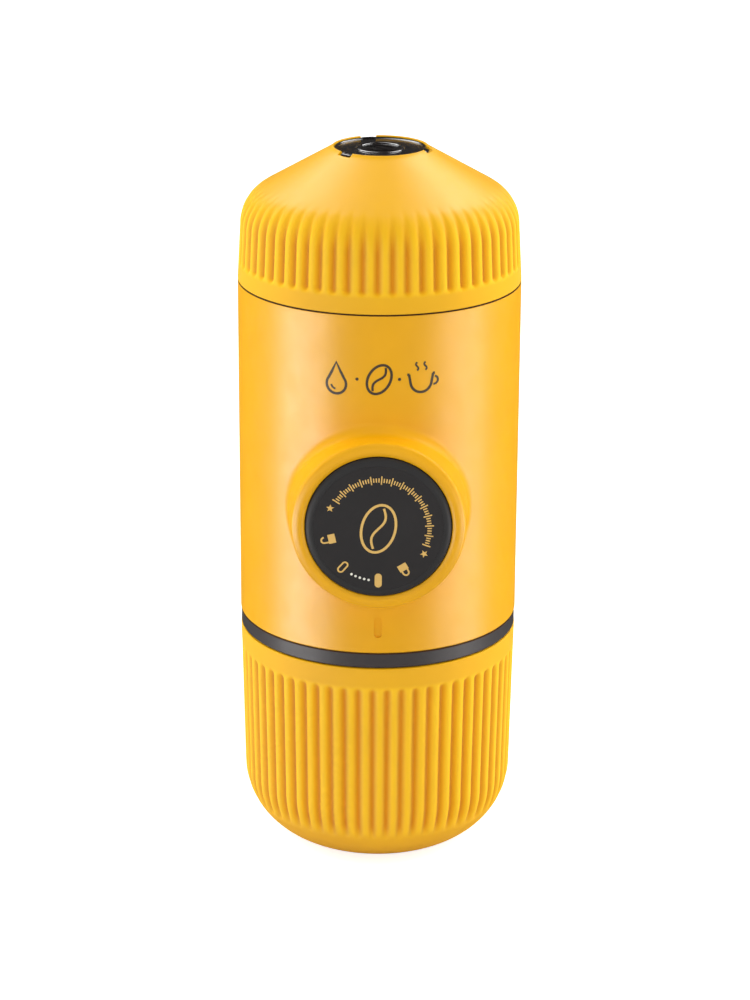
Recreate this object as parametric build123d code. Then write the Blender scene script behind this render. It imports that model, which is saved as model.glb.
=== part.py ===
"""Handheld manual espresso maker, as it is stored: the water tank is the foot and the cup is the lid.

Millimetres, +Z up. The origin is the centre of the tank's flat foot. The pump's piston points to -Y,
which is the front. Water goes up from the tank, through the inlet valve into the pump cylinder, past
the outlet valve, and through the coffee in the filter basket to the outlet nozzle under the cup.
"""

import os
from math import acos, atan2, cos, degrees, radians, sin, sqrt, tan

from build123d import *
from build123d.topology import SkipClean

# ---------------------------------------------------------------- outside
outer_radius = 30.4  # the body shell
tank_height = 49.0
tank_gap = 0.2  # between the tank's rim and the dark flange
flange_height = 3.4  # the dark band under the shell
flange_inset = 0.15  # how far the band stands in from the shell
shell_height = 74.7
cup_gap = 0.05
cup_height = 28.65
seam_chamfer = 0.3

shell_wall = 2.2
tank_wall = 2.3
cup_wall = 2.2

# ---------------------------------------------------------------- clearances
slide_gap = 0.2  # pieces that slide in or over each other
running_gap = 0.05  # shafts, O-rings and plungers in their bores
seat_gap = 0.02  # a piece that rests on its seat

# ---------------------------------------------------------------- flutes of the two grips
flute_sectors = 12
flutes_per_sector = 5
flute_depth = 0.6
flute_radius = 1.3  # of the groove's round bottom
tank_flute_phase = 0.5  # of the flutes' pitch, so that a ridge of the tank is at the front
tank_flute_margin = 4.0  # smooth band between the tank's rim and its flutes
cup_flute_margin = 3.6

# ---------------------------------------------------------------- water tank
tank_draft = 0.7  # the wall leans in by this much above the corner
tank_corner_height = 15.5
tank_foot_radius = 19.0
tank_rim_inset = 0.05
tank_rim_wall = 2.75  # where the gasket and the thread are

# ---------------------------------------------------------------- tank thread, two starts
tank_thread_lead = 8.0
tank_thread_starts = 2
thread_height = 1.1
thread_base = 1.5
thread_crest = 0.8
thread_root = 0.25  # how deep a ridge is rooted in its wall
thread_gap = 0.3  # between a crest and the wall it faces
neck_length = 12.7  # of the tank head's neck, inside the tank
neck_wall = 2.4
neck_thread_turns = 1.0
tank_thread_turns = 0.33  # each ridge in the tank is a third of a turn
gasket_width = 1.25
gasket_thickness = 1.4

# ---------------------------------------------------------------- cup
cup_draft = 0.65
cup_wall_height = 12.0  # straight part, below the shoulder
cup_shoulder_radius = 9.0
pad_radius = 9.75
pad_thickness = 1.4
pad_depth = 0.6  # how far the pad lies below the cup's foot rim
pad_rim_width = 0.55
pad_floor = 2.0  # the cup's bottom under the pad
pad_ring_radius = 4.7
pad_ring_width = 0.5
pad_ring_height = 0.25
notch_angles = (105, 225, 345)
notch_width = 3.2
notch_reach = 0.75
notch_floor = 0.6  # from the pad's underside up to its tabs
tab_drop = 0.3  # how far the tabs lie below the pad's face
flute_widening = 1.7  # how much larger a flute's bend is than the cup's shoulder
flute_leave = 2.0  # degrees before the shoulder's end at which a flute runs straight out

# ---------------------------------------------------------------- pump and piston
pump_axis_height = 30.8  # above the shell's lower edge
boss_radius = 18.2  # at its face
boss_draft = 3.5  # degrees
boss_front = 36.4  # distance of the boss's face from the body's axis
boss_face_wall = 1.8
boss_edge_fillet = 1.1
boss_root_fillet = 2.6
piston_radius = 15.8
piston_front = 37.4
piston_disc_thickness = 2.5
piston_bevel_width = 2.0
piston_bevel_depth = 1.1
piston_hole_gap = 0.35
dial_radius = 13.4
dial_thickness = 0.9
skirt_radius = 15.0
skirt_wall = 1.7
skirt_rear = 6.5  # distance of the skirt's rear edge in front of the body's axis
sleeve_wall = 1.5
bulkhead_front = 3.0
bulkhead_thickness = 3.0
piston_stroke = 14.0
piston_turn = 45.0
lug_length = 3.0
lug_half_angle = 6.0
lug_height = 1.3
lug_gap = 0.5

plunger_radius = 5.55
plunger_head_length = 7.0
plunger_tip = 9.5  # behind the body's axis, with the piston locked in
plunger_rod_radius = 4.0
plunger_flange_radius = 5.6
plunger_flange_thickness = 1.0
plunger_ring_spacing = 3.0
plunger_ring_section = 0.6
clip_radius = 5.8
clip_thickness = 0.8
hub_radius = 7.0
hub_length = 6.0

cylinder_radius = 9.2
cylinder_front = 15.0
cylinder_end_wall = 3.2
chamber_end = 14.0
passage_y = 12.2  # the inlet and outlet passages, behind the body's axis

spring_radius = 11.4  # of the return spring's coil
spring_wire = 0.6
spring_turns = 8

# ---------------------------------------------------------------- valves, both the same
valve_tube_radius = 5.4
valve_pocket_radius = 3.6
passage_radius = 1.6
seat_thickness = 1.5
seat_bore = 1.5
ball_radius = 2.3
valve_spring_radius = 1.9
valve_spring_wire = 0.22
valve_spring_length = 4.0
valve_spring_turns = 5
spigot_radius = 3.3
spigot_engagement = 4.0
port_ring_section = 0.55

# ---------------------------------------------------------------- tank head and tie screws
hub_ring_height = 7.3
hub_ring_wall = 2.0
inlet_tube_clearance = 4.7  # from the head's floor up to the pump's inlet tube
screw_radius = 1.5
screw_clearance = 0.15
screw_head_radius = 2.8
screw_head_height = 2.0
screw_bite = 9.0  # in the brew head's bosses
washer_thickness = 0.8
column_radius = 3.4
column_angles = (-5.6, 185.6, 52.5, 127.5)
column_margin = 0.5  # between a screw's head and the neck
wing_height = 16.0
strainer_radius = 4.6
strainer_wall = 0.8
strainer_height = 1.0
strainer_hole = 0.4
vent_y = -13.0
vent_cap_radius = 4.2
vent_cap_thickness = 0.7
vent_stem_radius = 1.0
vent_bulb_radius = 1.7
vent_bulb_height = 1.2
vent_hole = 0.6

# ---------------------------------------------------------------- brew head, basket and portafilter
deck_thickness = 3.2
ledge_thickness = 2.6
ledge_width = 1.6
collar_height = 2.7
collar_gap = 0.3
collar_ring_section = 0.55
well_wall = 2.3
brew_neck_height = 5.5
brew_lead = 4.0
brew_thread_starts = 2
brew_thread_height = 0.75
brew_thread_base = 0.9
brew_thread_crest = 0.45
brew_neck_turns = 0.75
brew_cap_turns = 0.3
brew_floor = 2.5
basket_depth = 16.3
basket_wall = 1.4
basket_floor = 1.5
basket_rim_width = 1.9
basket_rim_thickness = 1.0
water_gap = 2.0  # under the basket, where the water spreads
basket_hole = 0.55
gasket_ring_thickness = 0.9
grip_clearance = 1.45  # between the portafilter and the cup
grip_wall = 1.7
grip_taper = 2.45  # the top edge stands in by this much
grip_plate = 2.2
scallop_count = 18  # finger grooves round the portafilter's edge
scallop_radius = 3.0
scallop_depth = 0.5
scallop_margin = 1.2
spread_rim = 2.0  # the screen rests on this rim and on the ribs
spread_depth = 0.75
spread_rib_count = 8
spread_rib_width = 1.2
screen_inset = 1.7  # from the well's wall
screen_thickness = 0.4
screen_hole = 0.5
crema_hole = 2.0
head_base_inset = 2.3  # from the portafilter's top edge
head_top_radius = 4.9
head_height = 6.6
head_edge = 1.2  # upright edge at the foot of the outlet's cone
head_wall = 1.5
crema_valve_radius = 3.4
crema_valve_thickness = 1.2
crema_pin_radius = 1.0
crema_spring_radius = 2.2
crema_spring_wire = 0.22
crema_spring_turns = 4
spider_thickness = 1.0
spider_hole = 0.6
spider_hole_count = 5
nozzle_seat_depth = 1.0
nozzle_radius = 4.2
nozzle_bore = 2.1
nozzle_height = 2.2

# ---------------------------------------------------------------- index mark under the piston
mark_length = 4.7
mark_width = 1.6
mark_depth = 0.35
mark_middle = 6.0  # above the shell's lower edge

# ================================================================ heights, worked out from the sizes above
flange_bottom = tank_height + tank_gap
shell_bottom = flange_bottom + flange_height
shell_top = shell_bottom + shell_height
cup_bottom = shell_top + cup_gap
cup_top = cup_bottom + cup_height
pump_z = shell_bottom + pump_axis_height
shell_inner = outer_radius - shell_wall
hub_outer = shell_inner - slide_gap

tank_rim_radius = outer_radius - tank_rim_inset
tank_corner_radius = outer_radius - tank_draft
tank_bore = tank_rim_radius - tank_rim_wall
neck_radius = tank_bore - thread_height - thread_gap
tank_pitch = tank_thread_lead / tank_thread_starts
column_ring = neck_radius - neck_wall - screw_head_radius - column_margin
column_places = [(column_ring * cos(radians(a)), column_ring * sin(radians(a))) for a in column_angles]

inlet_bottom = shell_bottom + inlet_tube_clearance
inlet_seat_bottom = inlet_bottom + spigot_engagement + running_gap
seat_contact = sqrt(ball_radius**2 - seat_bore**2)
spring_contact = sqrt(ball_radius**2 - valve_spring_radius**2) + valve_spring_wire + 2 * seat_gap
outlet_seat_bottom = pump_z + cylinder_radius + 2.4
passage_top = outlet_seat_bottom - running_gap


def ball_height(seat_bottom):
    """Height of a valve ball's centre when it lies on its seat."""
    return seat_bottom + seat_thickness + seat_contact + seat_gap


def valve_spring_bottom(seat_bottom):
    return ball_height(seat_bottom) + spring_contact


inlet_pocket_top = valve_spring_bottom(inlet_seat_bottom) + valve_spring_length + running_gap
outlet_spigot_bottom = valve_spring_bottom(outlet_seat_bottom) + valve_spring_length + running_gap
outlet_tube_top = outlet_spigot_bottom + spigot_engagement

deck_bottom = shell_top - deck_thickness
collar_top = shell_top + collar_height
brew_neck_top = collar_top + brew_neck_height
basket_rim_top = brew_neck_top + basket_rim_thickness
basket_bottom = basket_rim_top - basket_depth - basket_floor
well_floor_top = basket_bottom - water_gap
well_floor_bottom = well_floor_top - brew_floor
boss_bottom = well_floor_bottom - screw_bite - 2.0
cup_bore = outer_radius - cup_wall
grip_radius = cup_bore - grip_clearance
grip_top_radius = grip_radius - grip_taper
grip_bore = grip_radius - grip_wall
brew_neck_radius = grip_bore - thread_gap - brew_thread_height
well_radius = brew_neck_radius - well_wall
screen_radius = well_radius - screen_inset
head_base_radius = grip_top_radius - head_base_inset
grip_bottom = collar_top + 0.4
plate_bottom = basket_rim_top + gasket_ring_thickness + 2 * seat_gap
plate_top = plate_bottom + grip_plate
outlet_top = plate_top + head_height
brew_pitch = brew_lead / brew_thread_starts

pump_frame = Plane(origin=(0, 0, pump_z), x_dir=(1, 0, 0), z_dir=(0, 1, 0))


# ================================================================ small tools
def disc(radius, bottom, top, x=0, y=0):
    """Upright cylinder between two heights."""
    return Pos(x, y, (bottom + top) / 2) * Cylinder(radius, top - bottom)


def tube(outer, inner, bottom, top, x=0, y=0):
    return disc(outer, bottom, top, x, y) - disc(inner, bottom - 1, top + 1, x, y)


def turned(*edges):
    """Solid of revolution about Z from edges that close an outline in (radius, height)."""
    return revolve(Plane.XZ * make_face(Curve() + list(edges)), Axis.Z)


def o_ring(radius, section, height, x=0, y=0):
    return Pos(x, y, height) * Torus(radius, section)


def around(count, piece):
    """Copies of a piece, evenly spaced about Z."""
    return [Rot(0, 0, 360 * i / count) * piece for i in range(count)]


def ridge(radius, lead, turns, start_angle, start_height, outward, base, crest, height):
    """One thread ridge on the wall of this radius, rooted a little way into it."""
    side = 1 if outward else -1
    root = radius - side * thread_root
    path = Pos(0, 0, start_height) * Rot(0, 0, start_angle) * Helix(lead, lead * turns, root)
    tip = side * (thread_root + height)
    outline = Polyline((0, -base / 2), (tip, -crest / 2), (tip, crest / 2), (0, base / 2), close=True)
    start = path @ 0
    out = Vector(start.X, start.Y, 0).normalized()
    section = Plane(origin=start, x_dir=out, z_dir=path % 0) * make_face(outline)
    return sweep(section, path=path, is_frenet=True)


def thread(radius, lead, starts, turns, first_height, first_angle, outward, base, crest, height):
    angles = [first_angle + 360 * i / starts for i in range(starts)]
    return [ridge(radius, lead, turns, a, first_height, outward, base, crest, height) for a in angles]


def coil(radius, wire, bottom, length, turns):
    """Compression spring about Z, its wire's outside between bottom and bottom + length."""
    rise = length - 2 * wire
    path = Helix(rise / turns, rise, radius)
    section = Plane(origin=path @ 0, z_dir=path % 0) * Circle(wire)
    return Pos(0, 0, bottom + wire) * sweep(section, path=path, is_frenet=True)


def holes(spacing, reach, radius, bottom, top, keep_clear=0.0):
    """Round holes on a triangular grid, inside a circle and outside its middle."""
    rows = int(reach / (spacing * sqrt(3) / 2)) + 1
    found = []
    for row in range(-rows, rows + 1):
        for column in range(-2 * rows, 2 * rows + 1):
            x = (column + (row % 2) / 2) * spacing
            y = row * spacing * sqrt(3) / 2
            if keep_clear <= sqrt(x * x + y * y) <= reach:
                found.append(disc(radius, bottom, top, x, y))
    return found


def fluted(outside, path, phase=0.0):
    """Cut the flutes along a path into one sector of a round solid, and join copies of the sector.

    The sectors' faces stay apart, because one face round all the flutes has no reliable area.
    """
    section = Plane(origin=path @ 0, z_dir=path % 0) * Circle(flute_radius)
    cutter = sweep(section, path=path) + Pos(path @ 0) * Sphere(flute_radius)
    half = radians(180 / flute_sectors)
    corner = Vector(2 * outer_radius * cos(half), 2 * outer_radius * sin(half))
    outline = Polyline((0, 0), (corner.X, -corner.Y), (corner.X, corner.Y), close=True)
    sector = outside & Pos(0, 0, -1) * extrude(make_face(outline), cup_top + 2)
    pitch = 360 / (flute_sectors * flutes_per_sector)
    places = [pitch * (i - (flutes_per_sector - 1) / 2) for i in range(flutes_per_sector)]
    sector -= [Rot(0, 0, angle) * cutter for angle in places]
    first, *others = around(flute_sectors, Rot(0, 0, phase * pitch) * sector)
    return first + others


# ================================================================ water tank
def water_tank():
    straight = (tank_rim_radius, tank_height), (tank_corner_radius, tank_corner_height)
    lean = Vector(straight[1]) - Vector(straight[0])
    outside = turned(
        Line((0, tank_height), straight[0]),
        Line(*straight),
        TangentArc(straight[1], (tank_foot_radius, 0), tangent=lean),
        Line((tank_foot_radius, 0), (0, 0)),
        Line((0, 0), (0, tank_height)),
    )
    outside = chamfer(outside.edges().filter_by(GeomType.CIRCLE).sort_by(Axis.Z)[-1], seam_chamfer)
    path = Line(
        (tank_rim_radius + flute_radius - flute_depth, 0, tank_height - tank_flute_margin - flute_radius),
        (tank_corner_radius + flute_radius - flute_depth, 0, 0),
    )
    corner = (tank_corner_radius - tank_wall, tank_corner_height)
    inside = turned(
        Line((0, tank_height + 1), (tank_bore, tank_height + 1)),
        Line((tank_bore, tank_height + 1), (tank_bore, tank_height - neck_length - 2)),
        Line((tank_bore, tank_height - neck_length - 2), corner),
        TangentArc(corner, (tank_foot_radius - tank_wall / 2, tank_wall), tangent=lean),
        Line((tank_foot_radius - tank_wall / 2, tank_wall), (0, tank_wall)),
        Line((0, tank_wall), (0, tank_height + 1)),
    )
    step = disc(gasket_inner + gasket_width + running_gap, gasket_bottom - seat_gap, tank_height + 1)
    ridges = thread(
        tank_bore, tank_thread_lead, tank_thread_starts, tank_thread_turns, tank_ridge_height,
        0, False, thread_base, thread_crest, thread_height,
    )
    with SkipClean():
        return fluted(outside, path, tank_flute_phase) - inside - step + ridges


neck_bottom = flange_bottom - neck_length
neck_ridge_height = neck_bottom + thread_base / 2 + 0.2
tank_ridge_height = neck_ridge_height + tank_pitch / 2 + 0.15 * tank_thread_lead
tank_ridge_angle = 0.15 * 360
gasket_inner = tank_bore - running_gap
gasket_top = flange_bottom - running_gap
gasket_bottom = gasket_top - gasket_thickness


def tank_gasket():
    return tube(gasket_inner + gasket_width, gasket_inner, gasket_bottom, gasket_top)


# ================================================================ tank head, the dark flange over the tank
def tank_head():
    flange = disc(outer_radius - flange_inset, flange_bottom, shell_bottom)
    flange = chamfer(flange.edges().sort_by(Axis.Z)[0], seam_chamfer)
    ring = tube(hub_outer, hub_outer - hub_ring_wall, shell_bottom - 1, flange_bottom + hub_ring_height)
    neck = tube(neck_radius, neck_radius - neck_wall, neck_bottom, flange_bottom + 1)
    ridges = thread(
        neck_radius, tank_thread_lead, tank_thread_starts, neck_thread_turns, neck_ridge_height,
        -tank_ridge_angle, True, thread_base, thread_crest, thread_height,
    )
    spigot_top = inlet_bottom + spigot_engagement
    spigot = disc(spigot_radius, shell_bottom - 1, spigot_top, 0, passage_y)
    head = flange + ring + neck + ridges + spigot
    head -= disc(passage_radius, flange_bottom - 1, spigot_top + 1, 0, passage_y)
    head -= port_groove(inlet_bottom + spigot_engagement / 2)
    head -= [
        disc(screw_radius + screw_clearance, flange_bottom - 1, shell_bottom + 1, x, y)
        for x, y in column_places
    ]
    head -= disc(vent_stem_radius + running_gap, flange_bottom - 1, shell_bottom + 1, 0, vent_y)
    vent_reach = (vent_stem_radius + vent_cap_radius) / 2
    head -= [
        Pos(0, vent_y, 0) * hole
        for hole in around(4, disc(vent_hole, flange_bottom - 1, shell_bottom + 1, vent_reach, 0))
    ]
    return head


def port_groove(height):
    """Groove for the O-ring on a spigot, round the passages' axis."""
    groove = tube(spigot_radius + 1, port_ring_radius - port_ring_section, height - port_groove_half,
                  height + port_groove_half)
    return Pos(0, passage_y, 0) * groove


port_ring_radius = valve_pocket_radius - running_gap - port_ring_section
port_groove_half = port_ring_section + running_gap


def port_o_rings():
    inlet = o_ring(port_ring_radius, port_ring_section, inlet_bottom + spigot_engagement / 2, 0, passage_y)
    outlet = o_ring(
        port_ring_radius, port_ring_section, outlet_tube_top - spigot_engagement / 2, 0, passage_y
    )
    return [inlet, outlet]


def inlet_strainer():
    top = flange_bottom
    cup = tube(strainer_radius, strainer_radius - strainer_wall, top - strainer_height, top)
    mesh = disc(strainer_radius, top - strainer_height, top - strainer_height / 2)
    mesh -= holes(
        3 * strainer_hole, strainer_radius - strainer_wall - strainer_hole, strainer_hole,
        top - strainer_height - 1, top,
    )
    return Pos(0, passage_y, 0) * (cup + mesh)


def air_vent_valve():
    """Silicone umbrella that lets air into the tank while water is pumped out."""
    cap = disc(vent_cap_radius, flange_bottom - vent_cap_thickness, flange_bottom, 0, vent_y)
    stem = disc(vent_stem_radius, flange_bottom - vent_cap_thickness, shell_bottom, 0, vent_y)
    bulb = disc(vent_bulb_radius, shell_bottom, shell_bottom + vent_bulb_height, 0, vent_y)
    return cap + stem + bulb


def tie_screws():
    seat = flange_bottom - washer_thickness
    tip = boss_bottom + screw_bite
    screws = []
    for x, y in column_places:
        head = disc(screw_head_radius, seat - screw_head_height, seat, x, y)
        socket = extrude(
            Pos(x, y, seat - screw_head_height) * RegularPolygon(screw_radius * 0.95, 6),
            screw_head_height / 2,
        )
        screws.append(head + disc(screw_radius, seat, tip, x, y) - socket)
    return screws


def screw_seals():
    return [
        tube(screw_head_radius, screw_radius + screw_clearance, flange_bottom - washer_thickness,
             flange_bottom, x, y)
        for x, y in column_places
    ]


# ================================================================ body shell
def body_shell():
    outside = disc(outer_radius, shell_bottom, shell_top)
    rims = outside.edges().filter_by(GeomType.CIRCLE)
    outside = chamfer(rims, seam_chamfer)
    depth = boss_front / 2
    cone = Cone(boss_radius, boss_radius + depth * tan(radians(boss_draft)), depth)
    boss = pump_frame * Pos(0, 0, -boss_front + depth / 2) * cone
    front_edge = boss.edges().sort_by(Axis.Y)[0]
    boss = fillet(front_edge, boss_edge_fillet)
    outside += boss
    outside = fillet(outside.edges().filter_by(is_boss_root), boss_root_fillet)
    shell = outside - disc(shell_inner, shell_bottom - 1, shell_top + 1)
    shell += tube(
        shell_inner + shell_wall / 2, shell_inner - ledge_width, deck_bottom - ledge_thickness, deck_bottom
    )
    pocket_front = -(boss_front - boss_face_wall)
    shell -= pump_frame * disc(sleeve_radius + slide_gap, pocket_front, -outer_radius / 2)
    shell -= pump_frame * disc(piston_radius + piston_hole_gap, -boss_front - 1, 0)
    return shell - index_mark()


def is_boss_root(edge):
    """True for the saddle-shaped edges where the round boss meets the round shell."""
    middle = edge @ 0.5
    reach = sqrt(middle.X**2 + (middle.Z - pump_z) ** 2)
    boss_there = boss_radius + (boss_front + middle.Y) * tan(radians(boss_draft))
    on_shell = abs(sqrt(middle.X**2 + middle.Y**2) - outer_radius) < 0.01
    return on_shell and abs(reach - boss_there) < 0.01


def index_mark():
    """Shallow upright groove that the dial's marks are turned to."""
    outline = SlotOverall(mark_length, mark_width, rotation=90)
    front = Plane(origin=(0, -outer_radius + mark_depth, shell_bottom + mark_middle), x_dir=(1, 0, 0),
                  z_dir=(0, -1, 0))
    return extrude(front * outline, 2 * mark_depth + 1)


sleeve_bore = skirt_radius + slide_gap
sleeve_radius = sleeve_bore + sleeve_wall
sleeve_front = boss_front - boss_face_wall - slide_gap


# ================================================================ pump body
def pump_body():
    block = pump_frame * disc(cylinder_radius, -cylinder_front, chamber_end + cylinder_end_wall)
    bulkhead = pump_frame * disc(sleeve_radius, -bulkhead_front, -bulkhead_front + bulkhead_thickness)
    sleeve = pump_frame * tube(sleeve_radius, sleeve_bore, -sleeve_front, -bulkhead_front + 0.5)
    valve_tube = disc(valve_tube_radius, inlet_bottom, outlet_tube_top, 0, passage_y)
    body = block + bulkhead + sleeve + valve_tube
    for (x, y), plate_y, plate in wings():
        body += Pos(0, plate_y, pump_z) * Box(2 * x, plate, wing_height)
    body += [disc(column_radius, shell_bottom, boss_bottom, x, y) for x, y in column_places]
    body -= [
        disc(screw_radius + screw_clearance, shell_bottom - 1, boss_bottom + 1, x, y)
        for x, y in column_places
    ]
    bore = plunger_radius + running_gap
    body -= pump_frame * disc(bore, -cylinder_front - 1, chamber_end)
    body -= disc(valve_pocket_radius, inlet_bottom - 1, inlet_pocket_top, 0, passage_y)
    body -= disc(valve_pocket_radius, passage_top, outlet_tube_top + 1, 0, passage_y)
    body -= disc(passage_radius, inlet_pocket_top - 1, passage_top + 1, 0, passage_y)
    return body - lug_windows()


def wings():
    """The two webs that tie the screw columns to the pump: (column, plate's y, plate's thickness)."""
    front, rear = column_places[0], column_places[2]
    yield front, -bulkhead_front + bulkhead_thickness / 2, bulkhead_thickness
    yield rear, chamber_end + cylinder_end_wall / 2, cylinder_end_wall


def sector(outer, inner, first, last, start, end):
    """Part of a tube about the pump's axis: angles run from +X towards the top, lengths along Y."""
    middle, half = (start + end) / 2, abs(end - start) / 2
    reach = 2 * outer
    corner = Polyline(
        (0, 0),
        (reach * cos(radians(middle - half)), -reach * sin(radians(middle - half))),
        (reach * cos(radians(middle)), -reach * sin(radians(middle))),
        (reach * cos(radians(middle + half)), -reach * sin(radians(middle + half))),
        close=True,
    )
    wedge = Pos(0, 0, first) * extrude(make_face(corner), last - first)
    return pump_frame * (tube(outer, inner, first, last) & wedge)


def lug_windows():
    """Openings that the piston's two lugs turn and slide in, over the full turn and stroke."""
    first = -(skirt_rear + lug_length + piston_stroke + lug_gap)
    last = -bulkhead_front
    spread = lug_half_angle + degrees(lug_gap / sleeve_radius)
    return [
        sector(sleeve_radius + 1, sleeve_bore - 1, first, last, side - spread, side + piston_turn + spread)
        for side in (0, 180)
    ]


# ================================================================ piston
def piston_cap():
    back = -piston_front + piston_disc_thickness
    bevel = Cone(piston_radius - piston_bevel_width, piston_radius, piston_bevel_depth)
    face = Pos(0, 0, -piston_front + piston_bevel_depth / 2) * bevel
    face += disc(piston_radius, -piston_front + piston_bevel_depth, back)
    skirt = tube(skirt_radius, skirt_radius - skirt_wall, back - 0.5, -skirt_rear)
    hub = disc(hub_radius, back - 0.5, back + hub_length)
    cap = pump_frame * (face + skirt + hub)
    cap -= pump_frame * disc(dial_radius + running_gap, -piston_front - 1, dial_back)
    cap -= pump_frame * disc(plunger_flange_radius + running_gap, dial_back - 1, flange_back)
    cap -= pump_frame * disc(plunger_rod_radius + running_gap, dial_back - 1, back + hub_length + 1)
    return cap + [
        sector(skirt_radius + lug_height, skirt_radius - skirt_wall, -skirt_rear - lug_length, -skirt_rear,
               side - lug_half_angle, side + lug_half_angle)
        for side in (0, 180)
    ]


dial_back = -piston_front + dial_thickness
flange_back = dial_back + plunger_flange_thickness + seat_gap
hub_end = -piston_front + piston_disc_thickness + hub_length
clip_front = hub_end + running_gap


def dial_plate():
    plate = disc(dial_radius, -piston_front, dial_back - seat_gap)
    return pump_frame * plate


def plunger():
    head_front = plunger_tip - plunger_head_length
    flange = disc(plunger_flange_radius, dial_back, flange_back - seat_gap)
    rod = disc(plunger_rod_radius, dial_back, head_front + 1)
    head = disc(plunger_radius, head_front, plunger_tip)
    piece = flange + rod + head
    for y in plunger_ring_places():
        half = plunger_ring_section + running_gap
        piece -= tube(plunger_radius + 1, plunger_ring_radius - plunger_ring_section, y - half, y + half)
    piece -= tube(plunger_rod_radius + 1, clip_bore, clip_front, clip_front + clip_thickness + running_gap)
    return pump_frame * piece


plunger_ring_radius = plunger_radius + running_gap - 0.03 - plunger_ring_section
clip_bore = plunger_rod_radius - 1.0


def plunger_ring_places():
    middle = plunger_tip - plunger_head_length / 2
    return middle - plunger_ring_spacing / 2, middle + plunger_ring_spacing / 2


def plunger_o_rings():
    section = plunger_ring_section
    return [pump_frame * o_ring(plunger_ring_radius, section - seat_gap, y) for y in plunger_ring_places()]


def plunger_clip():
    """Open snap ring that holds the piston cap on the plunger's rod and lets it turn."""
    ring = tube(clip_radius, clip_bore + seat_gap, clip_front, clip_front + clip_thickness)
    mouth = Pos(0, clip_radius, clip_front + clip_thickness / 2) * Box(
        1.6 * clip_bore, 2 * clip_radius, 2 * clip_thickness
    )
    return pump_frame * (ring - mouth)


def return_spring():
    start = -piston_front + piston_disc_thickness + running_gap
    return pump_frame * coil(
        spring_radius, spring_wire, start, -bulkhead_front - running_gap - start, spring_turns
    )


# ================================================================ valves
def valve_seat(bottom):
    ring = tube(valve_pocket_radius - running_gap, seat_bore, bottom, bottom + seat_thickness)
    return Pos(0, passage_y, 0) * ring


def valve_ball(seat_bottom):
    return Pos(0, passage_y, ball_height(seat_bottom)) * Sphere(ball_radius)


def valve_spring(seat_bottom):
    spring = coil(
        valve_spring_radius, valve_spring_wire, valve_spring_bottom(seat_bottom), valve_spring_length,
        valve_spring_turns,
    )
    return Pos(0, passage_y, 0) * spring


# ================================================================ brew head
def brew_head():
    deck = disc(hub_outer, deck_bottom, shell_top)
    collar = disc(collar_radius, shell_top, collar_top)
    neck = disc(brew_neck_radius, well_floor_bottom, brew_neck_top)
    ridges = thread(
        brew_neck_radius, brew_lead, brew_thread_starts, brew_neck_turns, brew_ridge_height, 0, True,
        brew_thread_base, brew_thread_crest, brew_thread_height,
    )
    spigot = disc(spigot_radius, outlet_spigot_bottom, well_floor_bottom + 1, 0, passage_y)
    bosses = [disc(column_radius, boss_bottom, well_floor_bottom + 1, x, y) for x, y in column_places]
    head = deck + collar + neck + ridges + spigot + bosses
    head -= disc(well_radius, well_floor_top, brew_neck_top + 1)
    head -= disc(passage_radius, outlet_spigot_bottom - 1, well_floor_top + 1, 0, passage_y)
    head -= port_groove(outlet_tube_top - spigot_engagement / 2)
    head -= [
        disc(screw_radius + running_gap, boss_bottom - 1, boss_bottom + screw_bite + 0.5, x, y)
        for x, y in column_places
    ]
    return head - tube(
        collar_radius + 1, collar_ring_radius - collar_ring_section, collar_ring_z - collar_groove_half,
        collar_ring_z + collar_groove_half,
    )


collar_radius = cup_bore - collar_gap
collar_ring_radius = cup_bore - running_gap - 0.1 - collar_ring_section
collar_ring_z = shell_top + collar_height / 2
collar_groove_half = collar_ring_section + running_gap
brew_ridge_height = collar_top + brew_thread_base / 2 + 0.6
cap_ridge_share = 0.2  # of a turn, from the neck ridge's start to the cap ridge's
cap_ridge_height = brew_ridge_height + brew_pitch / 2 + cap_ridge_share * brew_lead


def cup_o_ring():
    return o_ring(collar_ring_radius, collar_ring_section - seat_gap, collar_ring_z)


def filter_basket():
    wall = disc(well_radius - slide_gap, basket_bottom, basket_rim_top)
    rim = disc(well_radius + basket_rim_width, brew_neck_top, basket_rim_top)
    inner = well_radius - slide_gap - basket_wall
    basket = wall + rim - disc(inner, basket_bottom + basket_floor, basket_rim_top + 1)
    return basket - holes(
        5 * basket_hole, inner - 2 * basket_hole, basket_hole, basket_bottom - 1, basket_rim_top
    )


def group_gasket():
    inner = screen_radius + slide_gap
    bottom = basket_rim_top + seat_gap
    return tube(well_radius + basket_rim_width, inner, bottom, bottom + gasket_ring_thickness)


# ================================================================ portafilter and outlet
def portafilter():
    grip = turned(
        Polyline(
            (0, grip_bottom), (grip_radius, grip_bottom), (grip_radius, plate_bottom - grip_wall),
            (grip_top_radius, plate_top), (0, plate_top), close=True,
        )
    )
    grip -= disc(grip_bore, grip_bottom - 1, plate_bottom)
    grip += thread(
        grip_bore, brew_lead, brew_thread_starts, brew_cap_turns, cap_ridge_height, 360 * cap_ridge_share,
        False, brew_thread_base, brew_thread_crest, brew_thread_height,
    )
    grip -= disc(crema_hole, plate_bottom - 1, plate_top + 1)
    spread = disc(screen_radius - spread_rim, plate_bottom - 1, plate_bottom + spread_depth)
    rib = Pos(screen_radius / 2, 0, plate_bottom) * Box(screen_radius, spread_rib_width, 4 * spread_depth)
    spread -= around(spread_rib_count, rib)
    scallop = disc(
        scallop_radius, grip_bottom + scallop_margin, plate_top + 1,
        grip_radius + scallop_radius - scallop_depth, 0,
    )
    return grip - spread - around(scallop_count, scallop)


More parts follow.
